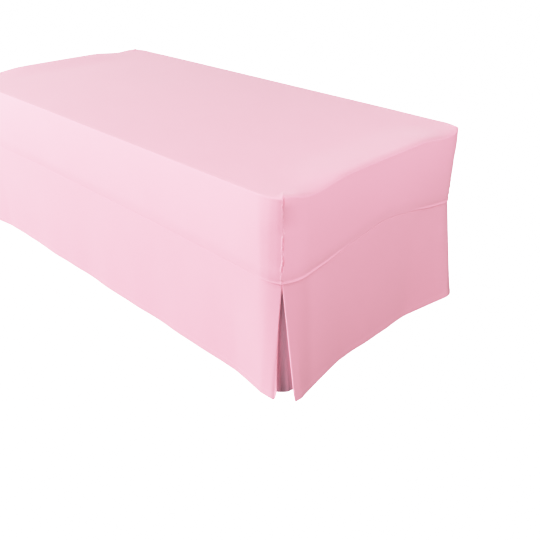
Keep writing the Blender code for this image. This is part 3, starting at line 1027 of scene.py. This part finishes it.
PERCALE = {"pitch": 0.00055, "sheen_tint": CLOTH_SHEEN, "flat_map": True}
FINISHES = {  # how each material is made, in which colour and with which settings
    "pink_percale": (woven_material, "cloth", PERCALE),
    # the same percale in the underlay's paler, bluer colour: painted light inside the pleats
    "pink_percale_underlay": (woven_material, "underlay", PERCALE),
    "pink_thread": (thread_material, "thread", {}),
    "woven_ticking": (woven_material, "ticking", {"pitch": 0.0012}),
    "base_weave": (woven_material, "base", {"pitch": 0.0016}),
    "moulded_plastic": (plastic_material, "leg", {}),
    "studio_floor": (floor_material, "floor", {}),
}


def finish(context, name):
    """A material by its name, made on its first use in the colour that the user has set."""
    make, part, settings = FINISHES[name]
    if name not in bpy.data.materials:
        make(name, (*getattr(context.scene.bed_skirt_colours, part), 1.0), **settings)
    return bpy.data.materials[name]


# --- What a user would change ---


def a_length(name, description, default):
    return FloatProperty(name=name, description=description, default=default, unit="LENGTH")


def a_colour(name, description, *default):
    return FloatVectorProperty(name=name, description=description, default=default, subtype="COLOR")


class BedSkirtSizes(bpy.types.PropertyGroup):
    """Sizes of the bed and of the cloth on it."""

    bed_length: a_length("Bed Length", "From the head wall to the foot wall", 1.90)
    bed_width: a_length("Bed Width", "From one long wall to the other", 0.90)
    corner_radius: a_length("Corner Radius", "Rounding of the upright corners", 0.10)
    hem_height: a_length("Hem Height", "Gap between the floor and the hem", 0.012)
    skirt_drop: a_length("Skirt Drop", "From the seam to the hem at a corner", 0.381)
    wall_height: a_length("Cover Wall", "From the top edge to the seam", 0.254)
    cloth_thickness: a_length("Cloth Thickness", "Thickness of the cloth", 0.0012)
    stitch_pitch: a_length("Stitch Pitch", "Length of one stitch and its gap", 0.0034)


class BedSkirtColours(bpy.types.PropertyGroup):
    """Colours of the cloth and of what is under it."""

    cloth: a_colour("Cloth", "Cover and skirt", 0.87, 0.366, 0.457)
    # painted light: a paler, bluer copy of the cloth's colour, for how the shaded inside of a pleat looks
    underlay: a_colour("Underlay", "Cloth behind the pleats", 0.88, 0.445, 0.575)
    thread: a_colour("Thread", "Sewing thread", 0.93, 0.56, 0.64)
    ticking: a_colour("Ticking", "Mattress cover", 0.85, 0.84, 0.80)
    base: a_colour("Base", "Upholstery of the bed base", 0.80, 0.78, 0.74)
    leg: a_colour("Legs", "Plastic of the legs", 0.03, 0.03, 0.03)
    floor: a_colour("Floor", "Studio floor", 0.25, 0.25, 0.25)


# --- Operators ---


class BEDSKIRT_OT_cover(bpy.types.Operator):
    """Builds the fitted cover, one sheet over the top and down the walls"""

    bl_idname = "bedskirt.cover"
    bl_label = "Fitted Cover"

    def execute(self, context):
        sides = bed_sides(context)
        lengthways, crossways = side_stations(sides[0]), side_stations(sides[1])
        bm = bmesh.new()
        side_layer = bm.verts.layers.int.new("side")
        station_layer = bm.verts.layers.float.new("station")
        last_x, last_y = len(lengthways) - 1, len(crossways) - 1
        bmesh.ops.create_grid(bm, x_segments=last_x, y_segments=last_y, size=0.5)
        for vert in bm.verts:
            x = lengthways[round((vert.co.x + 0.5) * last_x)]
            y = crossways[round((vert.co.y + 0.5) * last_y)]
            side, station, share = ring_place(sides, x, y)
            vert[side_layer], vert[station_layer] = side.turn, station
            place = top_place(sides, side, station, share)
            vert.co = edge_surface(side, *outline_spot(side, place))
        on_top = set(bm.verts)
        rows = [(edge_row, k / EDGE_ROWS) for k in range(1, EDGE_ROWS + 1)]
        rows += [(wall_row, 1 - k / WALL_ROWS / 2) for k in range(1, 2 * FINE_ROWS)]
        rows += [(wall_row, 1 - k / WALL_ROWS) for k in range(FINE_ROWS, WALL_ROWS + 1)]
        rows += [(seam_row, above) for above in COVER_SEAM_RINGS[1:]]
        rim = [edge for edge in bm.edges if edge.is_boundary]
        for row_point, value in rows:
            rim = extrude_rim(bm, rim)
            for vert in {vert for edge in rim for vert in edge.verts}:
                vert.co = row_point(sides[vert[side_layer]], vert[station_layer], value)
        map_cover(sides, bm, side_layer, station_layer, on_top)
        # Painted shade and light for the cover's colour.
        painted_shading_layer = bm.verts.layers.float.new("backing")
        for vert in bm.verts:
            vert[painted_shading_layer] = cover_painted_shading(sides[vert[side_layer]], vert[station_layer], vert.co.z)
        cover = add_piece("cover_cloth", bm, finish(context, "pink_percale"), 75)
        thicken(cover, sides[0].cloth, -1)
        join_to_frame(cover, "fitted_cover")
        stitches = self.corner_stitches(context, sides)
        return {"FINISHED"}

    def corner_stitches(self, context, sides):
        """Short overedge stitches that show along the four corner seams."""
        bm = bmesh.new()
        draw = random.Random(7).uniform
        for side in sides:
            outward = (side.out + side.along).normalized()
            along = UP.cross(outward).normalized()
            z = side.seam_z + SEAM_STITCH_END
            while z < side.top_z - SEAM_STITCH_END:
                station = side.half_run + draw(-0.0024, 0.0030) + seam_wander(z)
                place = cover_wall(side, station, z) + outward * SEAM_STITCH_LIFT
                slant = (along + UP * draw(0.1, 0.6)).normalized()
                add_stitch(bm, place, slant, outward, draw(0.0040, 0.0065), SEAM_THREAD)
                z += draw(0.0070, 0.0140)
        return finish_stitches("corner_stitches", bm, context)


class BEDSKIRT_OT_skirt(bpy.types.Operator):
    """Builds the four skirt panels, folded back at their ends for the pleats"""

    bl_idname = "bedskirt.skirt"
    bl_label = "Skirt Panels"

    def execute(self, context):
        for side in bed_sides(context):
            end = [(near_fold, extra) for extra in reversed(FRONT_COLUMNS[:-1])]
            end += [(fold_point, math.pi * k / FOLD_STEPS) for k in range(FOLD_STEPS + 1)]
            end += [(back_point, away) for away in BACK_COLUMNS]
            inner = side.half_run - FRONT_COLUMNS[-1]
            steps = math.ceil(inner / MIDDLE_PITCH)
            columns = [(point, -1, value) for point, value in reversed(end)]
            columns += [(on_front, 0, inner * k / steps) for k in range(-steps, steps + 1)]
            columns += [(point, 1, value) for point, value in end]

            def place(column, row, side=side):
                point, hand, value = column
                station = value if hand == 0 else side.half_run - PLEAT_LEVEL_FROM
                return point(side, hand, value, drop_of_row(side, station, row))

            panel = hang_cloth(
                f"skirt_cloth_{side.name}", f"skirt_{side.name}", columns, place, side.cloth,
                finish(context, "pink_percale"), panel_painted_shading,
            )
            stitches = self.hem_stitches(context, side)
        return {"FINISHED"}

    def hem_stitches(self, context, side):
        """The row of stitches that holds a panel's turned-up hem."""
        bm = bmesh.new()
        pitch = context.scene.bed_skirt_sizes.stitch_pitch
        reach = side.half_run - HEM_STITCH_END
        count = round(2 * reach / pitch)
        for k in range(count):
            station = -reach + (k + 0.5) * 2 * reach / count
            drop = drop_of_row(side, station, ("hem", HEM_STITCH_BELL[0]))
            place = layer_point(side, station, drop, -side.cloth / 2)
            ahead = layer_point(side, station + HEM_STITCH_AHEAD, drop, -side.cloth / 2) - place
            along = Vector((ahead.x, ahead.y, 0)).normalized()
            add_stitch(bm, place, along, along.cross(UP), STITCH_SHARE * pitch, HEM_THREAD)
        return finish_stitches(f"hem_stitches_{side.name}", bm, context)


class BEDSKIRT_OT_pleats(bpy.types.Operator):
    """Builds the underlays that show between the panels at the corners"""

    bl_idname = "bedskirt.pleats"
    bl_label = "Corner Pleats"

    def execute(self, context):
        sides = bed_sides(context)
        half = [UNDERLAY_PITCH * k for k in range(1, UNDERLAY_COLUMNS + 1)] + [UNDERLAY_REACH]
        columns = [-away for away in reversed(half)] + [0.0] + half
        for side, following in zip(sides, sides[1:] + sides[:1]):

            def place(across, row, side=side, following=following):
                owner = side if across < 0 else following
                return underlay_point(owner, across, drop_of_row(owner, owner.half_run - abs(across), row))

            corner = f"{side.name}_{following.name}"
            underlay = hang_cloth(
                f"pleat_cloth_{corner}", f"pleat_{corner}", columns, place, side.cloth,
                finish(context, "pink_percale_underlay"), underlay_painted_shading,
            )
        return {"FINISHED"}


class BEDSKIRT_OT_bed(bpy.types.Operator):
    """Gives the mattress, the base and the legs their finishes"""

    bl_idname = "bedskirt.bed"
    bl_label = "Bed Finishes"

    def execute(self, context):
        finishes = {"mattress": "woven_ticking", "bed_base": "base_weave"}
        for name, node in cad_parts.items():
            chosen = "moulded_plastic" if name.startswith("leg_") else finishes.get(name)
            if chosen:
                node.material_slots[0].material = finish(context, chosen)
        return {"FINISHED"}


class BEDSKIRT_OT_stage(bpy.types.Operator):
    """Sets the floor, the light and the camera"""

    bl_idname = "bedskirt.stage"
    bl_label = "Stage"

    def execute(self, context):
        bm = bmesh.new()
        bmesh.ops.create_grid(bm, x_segments=1, y_segments=1, size=FLOOR_SIZE)
        add_piece("studio_floor", bm, finish(context, "studio_floor"))
        for softbox in SOFTBOXES:
            add_softbox(context, *softbox)
        world = bpy.data.worlds.new("studio")
        context.scene.world = world
        world.use_nodes = True
        background = world.node_tree.nodes["Background"]
        background.inputs["Color"].default_value = (1.0, 1.0, 1.0, 1.0)
        background.inputs["Strength"].default_value = ROOM_LIGHT
        set_tone_curve(context.scene.view_settings)
        add_camera(context)
        return {"FINISHED"}


# --- Stage ---

FLOOR_SIZE = 30.0
FLOOR_GLOW = 3.2
TONE_KNEE = 0.5  # up to here a view is as bright as the scene, and above it highlights flatten
TONE_RANGE = 3.0  # brightness of the scene at the curve's right end
TONE_POINTS = 24
TONE_SPACING = 1.6  # above 1 the points lie closer together near the knee


def set_tone_curve(view):
    """A camera's soft shoulder: highlights near white instead of clipping."""
    view.view_transform = "Standard"
    view.use_curve_mapping = True
    mapping = view.curve_mapping
    mapping.white_level = (TONE_RANGE, TONE_RANGE, TONE_RANGE)
    points = mapping.curves[3].points
    for k in range(1, TONE_POINTS):
        share = ((k - 1) / (TONE_POINTS - 1)) ** TONE_SPACING
        bright = TONE_KNEE + (TONE_RANGE - TONE_KNEE) * share
        points.new(bright / TONE_RANGE, toned(bright))
    points[-1].location = (1.0, toned(TONE_RANGE))
    mapping.update()


def toned(bright):
    span = 1 - TONE_KNEE
    return bright if bright < TONE_KNEE else TONE_KNEE + span * (1 - math.exp((TONE_KNEE - bright) / span))


ROOM_LIGHT = 0.44
SOFTBOX_AIM = Vector((0.60, -0.25, 0.50))
SOFTBOXES = (  # name, place, size in metres and power in watts
    ("key_softbox", (-3.5, -4.0, 2.6), 2.0, 479.0),
    ("foot_softbox", (3.5, 0.6, 1.5), 1.5, 37.9),
    ("front_softbox", (1.6, -3.2, 1.6), 1.2, 59.6),
    ("near_softbox", (2.2, 0.2, 1.9), 1.0, 12.5),
)


def add_softbox(context, name, place, size, power):
    """A square lamp aimed at the nearest corner of the bed."""
    lamp = bpy.data.lights.new(name, "AREA")
    lamp.shape = "SQUARE"
    lamp.size = size
    lamp.energy = power
    item = bpy.data.objects.new(name, lamp)
    item.location = place
    item.rotation_euler = (Vector(place) - SOFTBOX_AIM).to_track_quat("Z", "Y").to_euler()
    item.visible_camera = False
    context.scene.collection.objects.link(item)


CAMERA_PLACE = (1.995, -1.554, 1.317)
CAMERA_TURN = math.radians(44.69)  # round from the foot's left side
CAMERA_RISE = math.radians(29.54)
CAMERA_LENS = 43.77


def add_camera(context):
    camera = bpy.data.cameras.new("camera")
    camera.lens = CAMERA_LENS
    camera.sensor_width = 36.0
    item = bpy.data.objects.new("camera", camera)
    right = Vector((math.cos(CAMERA_TURN), math.sin(CAMERA_TURN), 0))
    back = UP.cross(right) * -math.cos(CAMERA_RISE) + UP * math.sin(CAMERA_RISE)
    axes = Matrix((right, back.cross(right), back)).transposed().to_4x4()
    item.matrix_world = Matrix.Translation(CAMERA_PLACE) @ axes
    context.scene.collection.objects.link(item)
    context.scene.camera = item


class BEDSKIRT_PT_sidebar(bpy.types.Panel):
    """Lists the pieces and their sizes"""

    bl_label = "Bed Skirt"
    bl_idname = "BEDSKIRT_PT_sidebar"
    bl_space_type = "VIEW_3D"
    bl_region_type = "UI"
    bl_category = "Bed Skirt"

    def draw(self, context):
        layout = self.layout
        for settings in (context.scene.bed_skirt_sizes, context.scene.bed_skirt_colours):
            box = layout.box()
            for name in settings.__annotations__:
                box.prop(settings, name)
        for operator in OPERATORS:
            layout.operator(operator.bl_idname)


OPERATORS = (BEDSKIRT_OT_cover, BEDSKIRT_OT_skirt, BEDSKIRT_OT_pleats, BEDSKIRT_OT_bed, BEDSKIRT_OT_stage)
CLASSES = (BedSkirtSizes, BedSkirtColours, *OPERATORS, BEDSKIRT_PT_sidebar)


def register():
    for item in CLASSES:
        bpy.utils.register_class(item)
    bpy.types.Scene.bed_skirt_sizes = PointerProperty(type=BedSkirtSizes)
    bpy.types.Scene.bed_skirt_colours = PointerProperty(type=BedSkirtColours)


def unregister():
    del bpy.types.Scene.bed_skirt_colours
    del bpy.types.Scene.bed_skirt_sizes
    for item in reversed(CLASSES):
        bpy.utils.unregister_class(item)


def main():
    register()
    for operator in ("cover", "skirt", "pleats", "bed", "stage"):
        getattr(bpy.ops.bedskirt, operator)()


if __name__ == "__main__":
    main()
